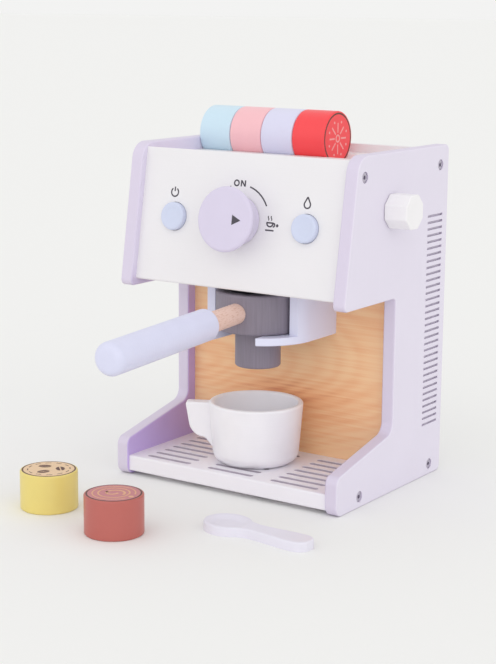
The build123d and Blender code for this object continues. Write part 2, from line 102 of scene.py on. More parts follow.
SPOON_TAIL = (  # reach from the middle of the bowl, and half the width there
    (17.0, 7.2), (21.0, 6.5), (27.0, 6.7), (36.0, 7.6), (46.0, 8.5), (53.8, 8.7), (57.4, 7.9),
    (60.2, 5.9), (61.9, 3.6),
)

# ---- stage ----------------------------------------------------------------------------------
LIGHT_SPREAD = radians(70)
CAMERA_PLACE = (0.5875, -0.9077, 0.3166)  # in metres
CAMERA_ANGLES = (radians(34.099), radians(11.455), radians(0.448))  # yaw, downwards, roll
CAMERA_LENS = 88.231


# ---- properties -----------------------------------------------------------------------------
def linear(code):
    """Scene-linear red, green and blue of an sRGB hex colour."""
    parts = [int(code[i : i + 2], 16) / 255 for i in (0, 2, 4)]
    return [c / 12.92 if c <= 0.04045 else ((c + 0.055) / 1.055) ** 2.4 for c in parts]


def colour(name, code, description):
    """A colour property that starts from an sRGB hex value."""
    return bpy.props.FloatVectorProperty(
        name=name, description=description, default=linear(code), subtype="COLOR", min=0, max=1
    )


def length(name, millimetres, description):
    """A length property that starts from a size in millimetres."""
    return bpy.props.FloatProperty(
        name=name, description=description, default=millimetres * MM, unit="LENGTH", min=0
    )


def strength(name, value, description):
    """A property for the strength of a light."""
    return bpy.props.FloatProperty(name=name, description=description, default=value, min=0)


class PaintColours(bpy.types.PropertyGroup):
    """Colours of the sprayed and turned enamels, and of the shade and light painted on some of
    them.
    """

    lavender: colour("Lavender", "E5DFEE", "Outer faces of the side boards")
    # Painted shade: the side boards' edges and inner faces are painted deeper and more violet than
    # their outer faces, standing for the shade that falls on them.
    lavender_edge_shade: colour("Lavender edge", "DAD1E5", "Sanded edges of the side boards")
    lavender_inner_shade: colour("Lavender inside", "C9B3EC", "Inner faces of the column and the foot")
    # Painted shade: darker tones for the floors of the side boards' vents and the walls of the
    # drip deck's slots, standing for the shade in them.
    groove_shade: colour("Vent groove", "CCC5D4", "Floors of the side boards' vents")
    slot: colour("Drip slot", "CFC4D3", "Walls of the drip deck's slots")
    white: colour("White", "ECEAED", "Fascia, tray, head floor and rear board")
    deck: colour("Deck", "F2EFF6", "Drip deck")
    drum: colour("Drum", "E5E6FB", "Round-fronted brew head")
    basket: colour("Basket", "867E8C", "Filter basket and spout")
    handle: colour("Handle", "DBDCF3", "Filter holder's handle")
    dial: colour("Dial", "D9D1E7", "Big dial on the fascia")
    button: colour("Buttons", "D0D7EE", "Push buttons")
    side_knob: colour("Side knob", "F4F2F4", "Knob on the right side board")
    cup: colour("Cup", "F4F2F7", "Cup and its ear")
    # Painted light: a paler white inside the cup lightens the shade in it.
    cup_inside_light: colour("Cup lining", "F8F7FC", "Inside of the cup")
    spoon: colour("Spoon", "E8E5F1", "Spoon")


class TimberColours(bpy.types.PropertyGroup):
    """Colours of the bare, clear-coated timber and of the steel."""

    board_light: colour("Board early wood", "FFD3A3", "Pale wood between the growth rings")
    board_dark: colour("Board late wood", "F6B683", "Darker wood of the growth rings")
    # Heartwood and painted shadow: this redder colour shows in the wood's deep blotches and fills
    # the painted shadow of the cup on the wall.
    board_heart_and_shadow: colour("Board heartwood", "DC8F6B", "Redder wood of the broad heart streak")
    dowel: colour("Dowel", "EFCFC3", "Ground colour of the dowels and washers")
    dowel_fleck: colour("Dowel fleck", "DBB19D", "Ray flecks of the dowels and washers")
    steel: colour("Screw", "C6C0CE", "Grey zinc of the screws")


class CapsuleColours(bpy.types.PropertyGroup):
    """Colours of the capsules and of the prints."""

    blue: colour("Blue", "CCE4F3", "Blue capsule")
    pink: colour("Pink", "F6BFC6", "Pink capsule")
    lavender: colour("Lavender", "DBDAF1", "Lavender capsule")
    red: colour("Red", "F9474D", "Red capsule")
    yellow: colour("Yellow", "E9D57E", "Yellow capsule")
    brown: colour("Brown", "BC665E", "Brown capsule")
    ink: colour("Ink", "4A4650", "Signs on the fascia and the dial's pointer")
    cocoa: colour("Cocoa ink", "5B3A30", "Dark ink on the capsules")
    cream: colour("Cream ink", "E9C9A4", "Pale disc on the yellow capsule")
    rose: colour("Rose ink", "C68084", "Disc on the brown capsule")
    sand: colour("Sand ink", "DDAA84", "Pale marks on the brown capsule")
    blush: colour("Blush ink", "FFA3A0", "Marks on the red capsule")


class FinishSizes(bpy.types.PropertyGroup):
    """Sizes of the grain and of the traces that spraying and turning leave."""

    ring_spacing: length("Growth ring spacing", 5.5, "Between growth rings on the natural board")
    fibre_width: length("Fibre width", 0.9, "Across the fibres that show through the enamel")
    peel_size: length("Spray peel", 1.1, "Across the ripples of the sprayed enamel")
    turning_pitch: length("Turning pitch", 1.3, "Between the lathe tool's traces")


class PieceSizes(bpy.types.PropertyGroup):
    """Sizes of the small pieces that are added to the model."""

    print_thickness: length("Print thickness", 0.12, "Height of the printed films")
    scale_radius: length("Scale radius", 22.9, "Of the scale round the dial")
    stroke: length("Stroke", 0.95, "Width of the printed lines")
    pointer: length("Pointer", 6.6, "Length of the dial's pointer")
    socket: length("Screw socket", 2.5, "Across the flats of the screws' hexagon sockets")


class StageSettings(bpy.types.PropertyGroup):
    """Floor and lights."""

    floor: colour("Floor", "F3F3F2", "Pale floor and background")
    floor_size: length("Floor size", 60000, "Side of the floor")
    key: strength("Key light", 0.28, "Strength of the light from the front left")
    side: strength("Side light", 0.5, "Strength of the light from the front right")
    sky: strength("Sky light", 1.0, "Strength of the light from all round")


# ---- materials ------------------------------------------------------------------------------
def add_node(material, kind, inputs=None, **settings):
    """Adds a node, sets its fields, and sets each named input or links it from a socket."""
    made = material.node_tree.nodes.new(kind)
    for name, value in settings.items():
        setattr(made, name, value)
    for name, value in (inputs or {}).items():
        if isinstance(value, bpy.types.NodeSocket):
            material.node_tree.links.new(value, made.inputs[name])
        else:
            made.inputs[name].default_value = value
    return made


def new_material(name, roughness, **sockets):
    """A material, its shader with these sockets set, and its texture coordinates."""
    material = bpy.data.materials.new(name)
    material.use_nodes = True
    shader = material.node_tree.nodes["Principled BSDF"]
    shader.inputs["Roughness"].default_value = roughness
    for socket, value in sockets.items():
        shader.inputs[socket.replace("_", " ")].default_value = value
    where = add_node(material, "ShaderNodeTexCoord")
    return material, shader, where


def shade_of(rgb, factor):
    """A colour made darker or lighter, ready for a colour socket."""
    return [min(1, part * factor) for part in rgb] + [1]


def lay_coats(material, tone, coats):
    """Lays coats over a tone. Each fades in as its value goes from start to end, to its cover."""
    for value, start, end, cover, paint in coats:
        inputs = {"Value": value, "From Min": start, "From Max": end, "To Max": cover}
        fade = add_node(material, "ShaderNodeMapRange", inputs, interpolation_type="SMOOTHSTEP")
        inputs = {"Fac": fade.outputs[0], "Color1": tone, "Color2": paint}
        tone = add_node(material, "ShaderNodeMixRGB", inputs).outputs["Color"]
    return tone


def mottle(material, shader, amount, paint, dark, light):
    """Colours the surface in a paint, from dark where the amount is 0 to light where it is 1."""
    inputs = {"Fac": amount, "Color1": shade_of(paint, dark), "Color2": shade_of(paint, light)}
    mixed = add_node(material, "ShaderNodeMixRGB", inputs).outputs["Color"]
    link_colour(material, shader, mixed)


def link_colour(material, shader, tone):
    """Gives the shader's surface a tone."""
    material.node_tree.links.new(tone, shader.inputs["Base Color"])


def link_bump(material, shader, heights, distance):
    """Adds up heights and lets them tilt the shader's surface, by a distance in millimetres."""
    total = heights[0]
    for height in heights[1:]:
        total = add_node(material, "ShaderNodeMath", {0: total, 1: height}).outputs[0]
    inputs = {"Height": total, "Distance": distance * MM, "Strength": 1}
    bump = add_node(material, "ShaderNodeBump", inputs)
    material.node_tree.links.new(bump.outputs["Normal"], shader.inputs["Normal"])


def grey(material, where, size, detail=2.0, amount=1.0, stretch=None):
    """Noise from 0 to amount, about a size in millimetres across, drawn out by stretch."""
    if stretch:
        inputs = {"Vector": where, "Scale": stretch}
        where = add_node(material, "ShaderNodeMapping", inputs).outputs[0]
    inputs = {"Vector": where, "Scale": 1 / (size * MM), "Detail": detail}
    noise = add_node(material, "ShaderNodeTexNoise", inputs)
    if amount == 1.0:
        return noise.outputs["Fac"]
    inputs = {0: noise.outputs["Fac"], 1: amount}
    return add_node(material, "ShaderNodeMath", inputs, operation="MULTIPLY").outputs[0]


def board_enamel(name, face, stretch, shade_layers=None, cut=None):
    """Satin water-based enamel sprayed on plywood.

    A soft sheen with a fine spray peel, over fibres that just show through. A side board's shade
    layers are painted shade: its inner faces are painted a darker violet for the shade between the
    boards, which fades out up in the head where light reaches them, and its edges a deeper
    lavender for the shade on them. Cut, when given, holds the colour of painted shade in the
    vents' floors or the drip slots' walls, and the box round them.
    """
    finish = bpy.context.scene.coffee_finish
    material, shader, where = new_material(name, 0.42, IOR=1.48)
    at = where.outputs["Object"]
    cloud, thin, thick = grey(material, at, 45), shade_of(face, 0.975), shade_of(face, 1.02)
    inputs = {"Fac": cloud, "Color1": thin, "Color2": thick}
    paint = add_node(material, "ShaderNodeMixRGB", inputs).outputs["Color"]
    if shade_layers:
        paint = paint_board_shade(material, where, paint, *shade_layers)
    # Painted shade in the vents or the drip slots.
    if cut:
        paint = paint_recess_shade(material, at, paint, *cut)
    link_colour(material, shader, paint)
    peel = grey(material, at, finish.peel_size / MM, amount=0.35)
    fibres = grey(material, at, finish.fibre_width / MM, detail=4, stretch=stretch)
    link_bump(material, shader, [peel, fibres], 0.06)
    return material


def paint_board_shade(material, where, face, inner_shade, edge):
    """Paints shade on a side board: its inner faces a darker violet that fades out up in the head,
    its edges a deeper lavender, its outer faces the plain face colour.
    """
    spot = add_node(material, "ShaderNodeSeparateXYZ", {"Vector": where.outputs["Object"]})
    tilt = add_node(material, "ShaderNodeSeparateXYZ", {"Vector": where.outputs["Normal"]})
    inputs = {0: spot.outputs["X"], 1: tilt.outputs["X"]}
    outwards = add_node(material, "ShaderNodeMath", inputs, operation="MULTIPLY").outputs[0]
    below, above = 100 * MM, 150 * MM  # the head's lower edge is between them
    flat, slanted = 75 * MM, 29 * MM  # how far out a board is, times how far its face looks out
    # Painted shade: inner faces stay a darker violet below the head and fade towards the face
    # colour up in it, where light reaches them; edges take a deeper lavender.
    coats = (
        (spot.outputs["Z"], below, above, 0.85, face),
        (outwards, -flat, -slanted, 1, shade_of(edge, 1)),
        (outwards, slanted, flat, 1, face),
    )
    return lay_coats(material, shade_of(inner_shade, 1), coats)


def paint_recess_shade(material, at, paint, tone, box):
    """Paints shade on what lies in a box, mirrored in X: a darker tone that stands for the shade
    in the vents or slots there. The box is in millimetres.
    """
    spot = add_node(material, "ShaderNodeSeparateXYZ", {"Vector": at})
    sideways = add_node(material, "ShaderNodeMath", {0: spot.outputs["X"]}, operation="ABSOLUTE")
    mask = 1.0
    axes = (sideways.outputs[0], spot.outputs["Y"], spot.outputs["Z"])
    for value, start, end in zip(axes, *box):
        inputs = {0: value, 1: (start + end) / 2 * MM, 2: (end - start) / 2 * MM}
        hit = add_node(material, "ShaderNodeMath", inputs, operation="COMPARE")
        inputs = {0: hit.outputs[0], 1: mask}
        mask = add_node(material, "ShaderNodeMath", inputs, operation="MULTIPLY").outputs[0]
    inputs = {"Fac": mask, "Color1": paint, "Color2": shade_of(tone, 1)}
    return add_node(material, "ShaderNodeMixRGB", inputs).outputs["Color"]


def turned_enamel(name, paint, axis=(0, 0, 1)):
    """Enamel brushed on turned beech.

    A smooth sheen with the lathe tool's faint rings under it, and colour that pools a little.
    """
    finish = bpy.context.scene.coffee_finish
    material, shader, where = new_material(name, 0.36, IOR=1.48)
    at = where.outputs["Object"]
    mottle(material, shader, grey(material, at, 14, detail=3), paint, 0.965, 1.03)
    along = add_node(material, "ShaderNodeVectorMath", {0: at, 1: axis}, operation="DOT_PRODUCT")
    inputs = {"W": along.outputs["Value"], "Scale": 1 / finish.turning_pitch, "Detail": 2.0}
    rings = add_node(material, "ShaderNodeTexNoise", inputs, noise_dimensions="1D")
    peel = grey(material, at, finish.peel_size / MM, amount=0.5)
    link_bump(material, shader, [rings.outputs["Fac"], peel], 0.05)
    return material


def clear_coated_board(name):
    """Rotary-cut veneered board under clear lacquer.

    Warm growth rings that wander sideways in long flames, fine dark pores along them, redder
    heartwood where the blotches run deep, a broad redder oval of painted shadow behind the cup and
    round the spout, and a quiet gloss over the whole.
    """
    timber, finish = bpy.context.scene.coffee_timber, bpy.context.scene.coffee_finish
    coat = {"Coat_Weight": 0.25, "Coat_Roughness": 0.35}
    material, shader, where = new_material(name, 0.5, IOR=1.5, **coat)
    at = where.outputs["Object"]
    pith, leaning = (0, 0.012, -0.078), (0, radians(9), radians(16))
    inputs = {"Vector": at, "Location": pith, "Rotation": leaning}
    log = add_node(material, "ShaderNodeMapping", inputs)
    inputs = {
        "Vector": log.outputs[0],
        "Scale": 2 * pi / 20 / finish.ring_spacing,
        "Distortion": 7.0,
        "Detail": 2.0,
        "Detail Scale": 0.3,
        "Detail Roughness": 0.5,
    }
    kind = {"wave_type": "RINGS", "rings_direction": "X", "wave_profile": "SIN"}
    flames = add_node(material, "ShaderNodeTexWave", inputs, **kind).outputs["Fac"]
    streaks = grey(material, at, 1.4, detail=5, stretch=(0.03, 1, 1))
    blotch = grey(material, at, 45, detail=2, stretch=(0.5, 1, 1))
    # Painted shadow: a broad oval on the wall behind the cup and round the spout, darkened towards
    # the redder colour where they shade it.
    middle, reach = (-0.004, 0.008, 0.056), (0.11, 1, 0.038)
    inputs = {"Vector": at, "Location": middle, "Scale": reach}
    shadow_oval = add_node(material, "ShaderNodeMapping", inputs, vector_type="TEXTURE").outputs[0]
    fade = {"gradient_type": "QUADRATIC_SPHERE"}
    cup_shadow = add_node(material, "ShaderNodeTexGradient", {"Vector": shadow_oval}, **fade).outputs["Fac"]
    depth = 0.0
    for part, weight in ((flames, 0.1), (streaks, 0.45), (blotch, 0.6), (cup_shadow, 0.36)):
        inputs = {0: part, 1: weight, 2: depth}
        depth = add_node(material, "ShaderNodeMath", inputs, operation="MULTIPLY_ADD").outputs[0]
    coats = (
        (depth, 0.42, 0.86, 1, shade_of(timber.board_dark, 1)),
        (depth, 0.74, 1.02, 1, shade_of(timber.board_heart_and_shadow, 1)),
    )
    link_colour(material, shader, lay_coats(material, shade_of(timber.board_light, 1), coats))
    link_bump(material, shader, [streaks, flames], 0.08)
    return material


def beech(name, axis_turn):
    """Planed and sealed beech dowel.

    Pinkish straw with the short dark ray flecks of beech, each about 2 mm long, matt.
    """
    timber = bpy.context.scene.coffee_timber
    material, shader, where = new_material(name, 0.55, IOR=1.5)
    inputs = {"Vector": where.outputs["Object"], "Rotation": axis_turn}
    along = add_node(material, "ShaderNodeMapping", inputs, vector_type="TEXTURE").outputs[0]
    flecks = grey(material, along, 0.5, detail=1, stretch=(1, 0.16, 1))
    grain = grey(material, along, 3, detail=3, stretch=(1, 0.05, 1), amount=0.35)
    inputs = {"Value": flecks, "From Min": 0.56, "From Max": 0.68}
    dark = add_node(material, "ShaderNodeMapRange", inputs).outputs[0]
    amount = add_node(material, "ShaderNodeMath", {0: dark, 1: grain}, use_clamp=True).outputs[0]
    ground, fleck = shade_of(timber.dowel, 1), shade_of(timber.dowel_fleck, 1)
    inputs = {"Fac": amount, "Color1": ground, "Color2": fleck}
    link_colour(material, shader, add_node(material, "ShaderNodeMixRGB", inputs).outputs["Color"])
    link_bump(material, shader, [flecks, grain], 0.04)
    return material


def stained_beech(name, paint):
    """Turned beech under thin grey stain.

    The grain still shows as fine upright streaks, and the surface is nearly matt.
    """
    material, shader, where = new_material(name, 0.52, IOR=1.48)
    at = where.outputs["Object"]
    grain = grey(material, at, 1.2, detail=5, stretch=(1, 1, 0.05))
    mottle(material, shader, grain, paint, 0.82, 1.18)
    link_bump(material, shader, [grain], 0.08)
    return material


def passivated_zinc(name):
    """Steel screws in grey passivated zinc.

    A dim metal with a slightly cloudy gloss, brighter where the head turns to the light.
    """
    timber = bpy.context.scene.coffee_timber
    material, shader, where = new_material(name, 0.38, Metallic=1.0)
    cloud = grey(material, where.outputs["Object"], 1.5, detail=3)
    mottle(material, shader, cloud, timber.steel, 0.8, 1.15)
    inputs = {"Value": cloud, "To Min": 0.3, "To Max": 0.48}
    rough = add_node(material, "ShaderNodeMapRange", inputs)
    material.node_tree.links.new(rough.outputs[0], shader.inputs["Roughness"])
    return material


def pad_ink(name, paint):
    """Pad-printed ink on enamel.

    A dense, nearly matt film whose colour thins a little from place to place.
    """
    material, shader, where = new_material(name, 0.55, IOR=1.5)
    thin = grey(material, where.outputs["Object"], 0.8, detail=2)
    mottle(material, shader, thin, paint, 0.9, 1.12)
    return material


# ---- shapes ---------------------------------------------------------------------------------
def local_frame(origin, x_axis=(1, 0, 0), z_axis=(0, 0, 1)):
    """Matrix from millimetres at a place, which is in metres, to the toy's own metres."""
    x_side, z_side = Vector(x_axis).normalized(), Vector(z_axis).normalized()
    turn = Matrix((x_side, z_side.cross(x_side), z_side)).transposed().to_4x4()
    return Matrix.Translation(Vector(origin)) @ turn @ Matrix.Scale(MM, 4)


def make_piece(name, bm, place, material, body, nodes=(), smooth_angle=32):
    """Puts a finished bmesh in place as a piece that rides on a body."""
    bmesh.ops.transform(bm, matrix=place, verts=bm.verts)
    mesh = bpy.data.meshes.new(name)
    bm.to_mesh(mesh)
    bm.free()
    mesh.materials.append(material)
    mesh.shade_smooth()
    mesh.set_sharp_from_angle(angle=radians(smooth_angle))
    piece = bpy.data.objects.new(name, mesh)
    bpy.context.scene.collection.objects.link(piece)
    even = piece.modifiers.new("Even shading", "WEIGHTED_NORMAL")
    even.keep_sharp = True
    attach(piece, body)
    if nodes:
        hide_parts(*nodes)
    return piece


def give_material(material, *nodes):
    """Gives modelled nodes their finish."""
    for node in nodes:
        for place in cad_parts[node].material_slots:
            place.material = material


def bevel(bm, parts, offset, segments, affect="EDGES"):
    """Rounds edges or corners."""
    bmesh.ops.bevel(
        bm, geom=parts, offset=offset, segments=segments, profile=0.5, affect=affect, material=-1
    )


def thrust(bm, move):
    """Extrudes every face along a vector, and returns the corners that moved."""
    made = bmesh.ops.extrude_face_region(bm, geom=bm.faces[:])["geom"]
    corners = [part for part in made if isinstance(part, bmesh.types.BMVert)]
    bmesh.ops.translate(bm, verts=corners, vec=move)
    return corners


def on_level(edge, height):
    """Whether an edge lies at a height above the bmesh's XY plane."""
    return all(abs(end.co.z - height) < 0.01 for end in edge.verts)


def turned(profile, steps=96):
    """A lathe piece: corners of radius, height and round, in millimetres, spun round Z."""
    bm = bmesh.new()
    corners = [bm.verts.new((radius, 0, height)) for radius, height, _ in profile]
    for ends in zip(corners, corners[1:]):
        bm.edges.new(ends)
    for corner, (_, _, corner_round) in zip(corners, profile):
        if corner_round:
            bevel(bm, [corner], corner_round, 6, "VERTICES")
    bmesh.ops.spin(
        bm,
        geom=bm.verts[:] + bm.edges[:],
        cent=(0, 0, 0),
        axis=(0, 0, 1),
        angle=2 * pi,
        steps=steps,
        use_merge=True,
    )
    bmesh.ops.remove_doubles(bm, verts=bm.verts, dist=0.001)
    bmesh.ops.recalc_face_normals(bm, faces=bm.faces)
    return bm


def print_disc(bm, centre, width, segments=40):
    """A filled circle of a print."""
    at = Matrix.Translation((*centre, 0))
    bmesh.ops.create_circle(bm, cap_ends=True, segments=segments, radius=width / 2, matrix=at)


def print_bar(bm, start, end, stroke):
    """A straight stroke of a print."""
    run = Vector(end) - Vector(start)
    middle = (Vector(start) + Vector(end)) / 2
    grown = Matrix.Diagonal((run.length / 2, stroke / 2, 1, 1))
    turn = Matrix.Rotation(run.angle_signed((1, 0)), 4, "Z")
    at = Matrix.Translation((*middle, 0)) @ turn @ grown
    bmesh.ops.create_grid(bm, x_segments=1, y_segments=1, size=1, matrix=at)


def print_arc(bm, centre, radius, start, end, stroke):
    """A round stroke of a print, from a start to an end angle in degrees."""
    middle = Vector((*centre, 0))
    out = Vector((cos(radians(start)), sin(radians(start)), 0))
    ends = [bm.verts.new(middle + out * (radius + side * stroke / 2)) for side in (-1, 1)]
    whole = abs(end - start) >= 360
    bmesh.ops.spin(
        bm,
        geom=ends + [bm.edges.new(ends)],
        cent=middle,
        axis=(0, 0, 1),
        angle=radians(end - start),
        steps=max(4, int(abs(end - start) / 6)),
        use_merge=whole,
    )


def make_print(name, bm, place, ink, body):
    """Puts a flat print in place as a film, its lower face just under the surface it is on."""
    thickness = bpy.context.scene.coffee_sizes.print_thickness / MM
    bmesh.ops.recalc_face_normals(bm, faces=bm.faces)
    for face in bm.faces:
        if face.normal.z < 0:
            face.normal_flip()
    thrust(bm, (0, 0, thickness))
    bmesh.ops.translate(bm, verts=bm.verts, vec=(0, 0, -0.3 * thickness))
    bmesh.ops.recalc_face_normals(bm, faces=bm.faces)
    make_piece(name, bm, place, ink, body)


def fascia_frame(across, up=0.0, out=0.0):
    """Frame on the fascia, in millimetres from the dial's axis: X right, Y up the slope, Z out."""
    upward = Vector((0, sin(FASCIA_LEAN), cos(FASCIA_LEAN)))
    back = (DIAL_HEIGHT - HEAD_BOTTOM) * tan(FASCIA_LEAN)
    spot = Vector((across, FASCIA_Y + back, DIAL_HEIGHT)) + upward * up + OUTWARD * out
    return local_frame(spot * MM, (1, 0, 0), OUTWARD)


def capsule_frame(name, lift=0.0):
    """Frame on a capsule's axis, lifted from its foot, with Z towards its printed end."""
    low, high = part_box(f"capsule_{name}")
    middle = (low + high) / 2
    if name in TRAY_CAPSULES:
        return local_frame((low.x + lift * MM, middle.y, middle.z), (0, 1, 0), (1, 0, 0))
    return local_frame((middle.x, middle.y, low.z + lift * MM), (1, 0, 0), (0, 0, 1))


# ---- operators ------------------------------------------------------------------------------
class COFFEE_OT_paint_boards(bpy.types.Operator):
    """Paints the side boards, the cross boards, the drip deck and the brew head"""

    bl_idname = "coffee.paint_boards"
    bl_label = "Paint the boards"

    def execute(self, context):
        paint = context.scene.coffee_paint
        upright, level = (1, 1, 0.05), (0.05, 1, 1)
        # The side boards carry painted shade on their inner faces, edges and vent floors.
        sides = board_enamel(
            "lavender enamel on plywood",
            paint.lavender,
            upright,
            (paint.lavender_inner_shade, paint.lavender_edge_shade),
            (paint.groove_shade, VENT_SHADE_BOX),
        )
        give_material(sides, "left_side_board", "right_side_board")
        white = board_enamel("white enamel on plywood", paint.white, level)
        give_material(white, "front_fascia", "capsule_tray", "head_floor", "rear_board")
        # Painted shade on the walls of the drip deck's slots.
        slots = (paint.slot, SLOT_SHADE_BOX)
        deck = board_enamel("pale enamel on drip deck", paint.deck, level, cut=slots)
        give_material(deck, "drip_deck")
        drum = board_enamel("pale blue enamel on brew head", paint.drum, upright)
        give_material(drum, "brew_drum")
        return {"FINISHED"}


class COFFEE_OT_finish_timber(bpy.types.Operator):
    """Gives the column's wall, the dowels and the washers their bare wood"""

    bl_idname = "coffee.finish_timber"
    bl_label = "Finish the bare timber"

    def execute(self, context):
        give_material(clear_coated_board("clear-coated veneer"), "column_wall")
        ahead = beech("sealed beech dowel", (0, 0, HANDLE_TURN))
        give_material(ahead, "handle_dowel", "dial_dowel", "dial_washer")
        sideways = beech("sealed beech cross dowel", (0, 0, radians(90)))
        give_material(sideways, "side_knob_dowel", "side_knob_washer")
        return {"FINISHED"}


class COFFEE_OT_drive_screws(bpy.types.Operator):
    """Sets eight socket screws in the side boards"""

    bl_idname = "coffee.drive_screws"
    bl_label = "Drive the screws"

    def execute(self, context):
        socket = context.scene.coffee_sizes.socket / MM
        zinc = passivated_zinc("zinc-plated screws")
        head_face = BOARD_FACE - SCREW_SINK
        for side, name in ((-1, "left_side_screws"), (1, "right_side_screws")):
            whole = bmesh.new()
            for y, z in SCREW_SPOTS:
                spot = Vector((side * head_face, y, z)) * MM
                add_screw(whole, local_frame(spot, (0, 1, 0), (side, 0, 0)), socket)
            make_piece(f"{name}_turned", whole, Matrix(), zinc, "machine", (name,))
        return {"FINISHED"}


def add_screw(whole, at, socket):
    """Adds a screw whose head lies on the frame's XY plane, with a hexagon socket in it."""
    socket_depth, point_length = 1.5, 1.6
    shank = SCREW_LENGTH - SCREW_HEAD_HEIGHT - point_length
    bm = bmesh.new()
    rim = bmesh.ops.create_circle(bm, segments=24, radius=SCREW_HEAD_RADIUS)["verts"]
    key = bmesh.ops.create_circle(bm, segments=6, radius=socket / 2 / cos(pi / 6))["verts"]
    rim_edges = list({edge for vert in rim for edge in vert.link_edges})
    key_edges = list({edge for vert in key for edge in vert.link_edges})
    bmesh.ops.bridge_loops(bm, edges=rim_edges + key_edges)
    drawn = push_edges(bm, key_edges, (0, 0, -socket_depth))
    bmesh.ops.contextual_create(bm, geom=drawn)
    under = push_edges(bm, rim_edges, (0, 0, -SCREW_HEAD_HEIGHT))
    neck = push_edges(bm, under, (0, 0, 0), 0.5)
    tip = push_edges(bm, neck, (0, 0, -shank))
    point = push_edges(bm, tip, (0, 0, -point_length), 0.35)
    bmesh.ops.contextual_create(bm, geom=point)
    bmesh.ops.recalc_face_normals(bm, faces=bm.faces)
    bevel(bm, rim_edges, 0.5, 3)
    append_bmesh(whole, bm, at)


def push_edges(bm, edges, move, grow=1.0):
    """Extrudes a loop of edges, moves and scales it about Z, and returns the new loop."""
    made = bmesh.ops.extrude_edge_only(bm, edges=edges)["geom"]
    corners = [part for part in made if isinstance(part, bmesh.types.BMVert)]
    bmesh.ops.translate(bm, verts=corners, vec=move)
    bmesh.ops.scale(bm, verts=corners, vec=(grow, grow, 1))
    loop = set(corners)
    return [
        part
        for part in made
        if isinstance(part, bmesh.types.BMEdge) and all(end in loop for end in part.verts)
    ]


def append_bmesh(whole, bm, at):
    """Adds a finished bmesh to another at a place, and frees it."""
    bmesh.ops.transform(bm, matrix=at, verts=bm.verts)
    copy = bpy.data.meshes.new("copy")
    bm.to_mesh(copy)
    bm.free()
    whole.from_mesh(copy)
    bpy.data.meshes.remove(copy)


class COFFEE_OT_turn_dial(bpy.types.Operator):
    """Turns the flared dial and prints its pointer"""

    bl_idname = "coffee.turn_dial"
    bl_label = "Turn the dial"

    def execute(self, context):
        profile = [
            (0, 9, 0), (5.05, 9, 0), (5.05, 0, 0), (16.0, 0, 0.5), (16.8, 8.5, 5.5),
            (DIAL_RADIUS, DIAL_DEPTH - 2, 0), (DIAL_RADIUS, DIAL_DEPTH, 1.9), (0, DIAL_DEPTH, 0),
        ]
        paint = context.scene.coffee_paint.dial
        enamel = turned_enamel("lavender enamel on turned dial", paint, OUTWARD)
        make_piece(
            "dial_turned", turned(profile), fascia_frame(0, 0, SLIDE_GAP), enamel, "dial",
            ("dial_knob",),
        )
        reach = context.scene.coffee_sizes.pointer / MM
        grown = Matrix.Diagonal((reach / 1.5, reach / 1.75, 1, 1))
        at = grown @ Matrix.Rotation(pi / 6, 4, "Z")
        pointer = bmesh.new()
        bmesh.ops.create_circle(pointer, cap_ends=True, segments=3, radius=1, matrix=at)
        ink = pad_ink("pointer ink", context.scene.coffee_capsules.ink)
        at = fascia_frame(8.2, 0, SLIDE_GAP + DIAL_DEPTH)
        make_print("dial_pointer", pointer, at, ink, "dial")
        return {"FINISHED"}


class COFFEE_OT_print_fascia(bpy.types.Operator):
    """Prints the dial's scale and the signs over the buttons on the fascia"""

    bl_idname = "coffee.print_fascia"
    bl_label = "Print the fascia"

    def execute(self, context):
        sizes = context.scene.coffee_sizes
        stroke, radius = sizes.stroke / MM, sizes.scale_radius / MM
        signs = bmesh.new()
        print_arc(signs, (0, 0), radius, 28, 74, stroke)
        print_arc(signs, (0, 0), radius, 111, 130, stroke)
        print_on_mark(signs, (-1.6, radius + 1.0), stroke)
        print_cup_sign(signs, (24.0, -1.0), stroke)
        print_power_sign(signs, (-52.6, 14.6), stroke)
        print_drop_sign(signs, (50.4, 14.9), stroke)
        ink = pad_ink("fascia ink", context.scene.coffee_capsules.ink)
        make_print("fascia_signs", signs, fascia_frame(0), ink, "machine")
        return {"FINISHED"}


def print_on_mark(bm, centre, stroke):
    """The word ON, 4 mm high."""
    x, y = centre
    print_arc(bm, (x - 2.6, y), 1.75, 0, 360, stroke)
    for start, end in (((1, -2), (1, 2)), ((1.2, 1.72), (3.8, -1.72)), ((4, -2), (4, 2))):
        print_bar(bm, (x + start[0], y + start[1]), (x + end[0], y + end[1]), stroke)


def print_cup_sign(bm, centre, stroke):
    """A small steaming cup on its saucer, with a dot beside it."""
    x, y = centre
    print_bar(bm, (x - 2.6, y + 1.4), (x + 2.6, y + 1.4), stroke)
    print_arc(bm, (x, y + 1.4), 2.4, 180, 360, stroke)
    print_arc(bm, (x + 2.6, y + 0.2), 1.1, -100, 80, stroke)
    print_bar(bm, (x - 3.2, y - 3.4), (x + 3.2, y - 3.4), stroke)
    for side in (-1.1, 1.1):
        print_arc(bm, (x + side - 0.9, y + 3.6), 0.9, -50, 60, 0.7 * stroke)
        print_arc(bm, (x + side + 0.3, y + 5.0), 0.9, 130, 240, 0.7 * stroke)
    print_disc(bm, (x + 5.6, y), 1.9)


def print_power_sign(bm, centre, stroke):
    """An open ring with a bar in its gap."""
    x, y = centre
    print_arc(bm, centre, 2.8, 125, 415, stroke)
    print_bar(bm, (x, y + 0.6), (x, y + 3.6), stroke)


def print_drop_sign(bm, centre, stroke):
    """A drop of water."""
    x, y = centre
    print_arc(bm, (x, y - 1.0), 2.3, 152, 388, stroke)
    for side in (-1, 1):
        start = (x + side * 2.3 * cos(radians(28)), y - 1.0 + 2.3 * sin(radians(28)))
        print_bar(bm, start, (x, y + 3.8), stroke)


